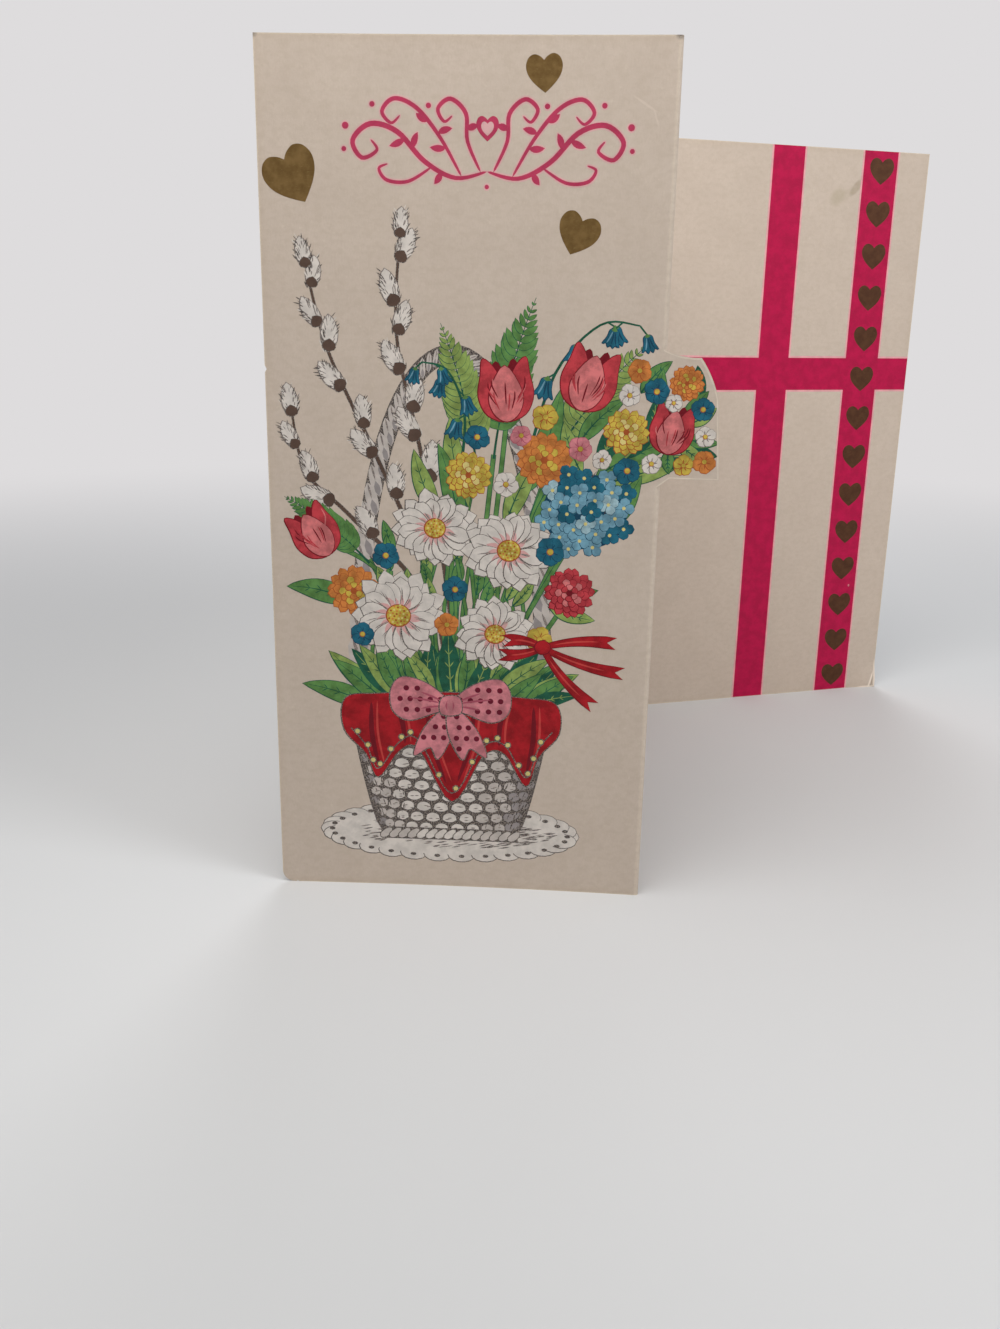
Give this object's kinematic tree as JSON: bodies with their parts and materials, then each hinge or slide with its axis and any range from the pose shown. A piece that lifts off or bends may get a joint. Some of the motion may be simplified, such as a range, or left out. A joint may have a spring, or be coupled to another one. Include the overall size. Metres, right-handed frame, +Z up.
{
  "type": "folded greeting card",
  "caption": "Tall slim greeting card folded in a Z, standing open, with a die-cut tab that stands out past the cover's edge.",
  "frame": {"origin": "Middle of the bottom of the bounding box, level with the surface that the card stands on.", "axes": "+Z up the card's height, cover facing -Y with its free edge towards -X and its crease towards +X, page behind it towards +Y."},
  "size_m": [0.1916, 0.2048, 0.203],
  "materials": {
    "card": "matt uncoated board, aged cream"
  },
  "bodies": {
    "root": {"folded_card": "card"}
  },
  "joints": []
}
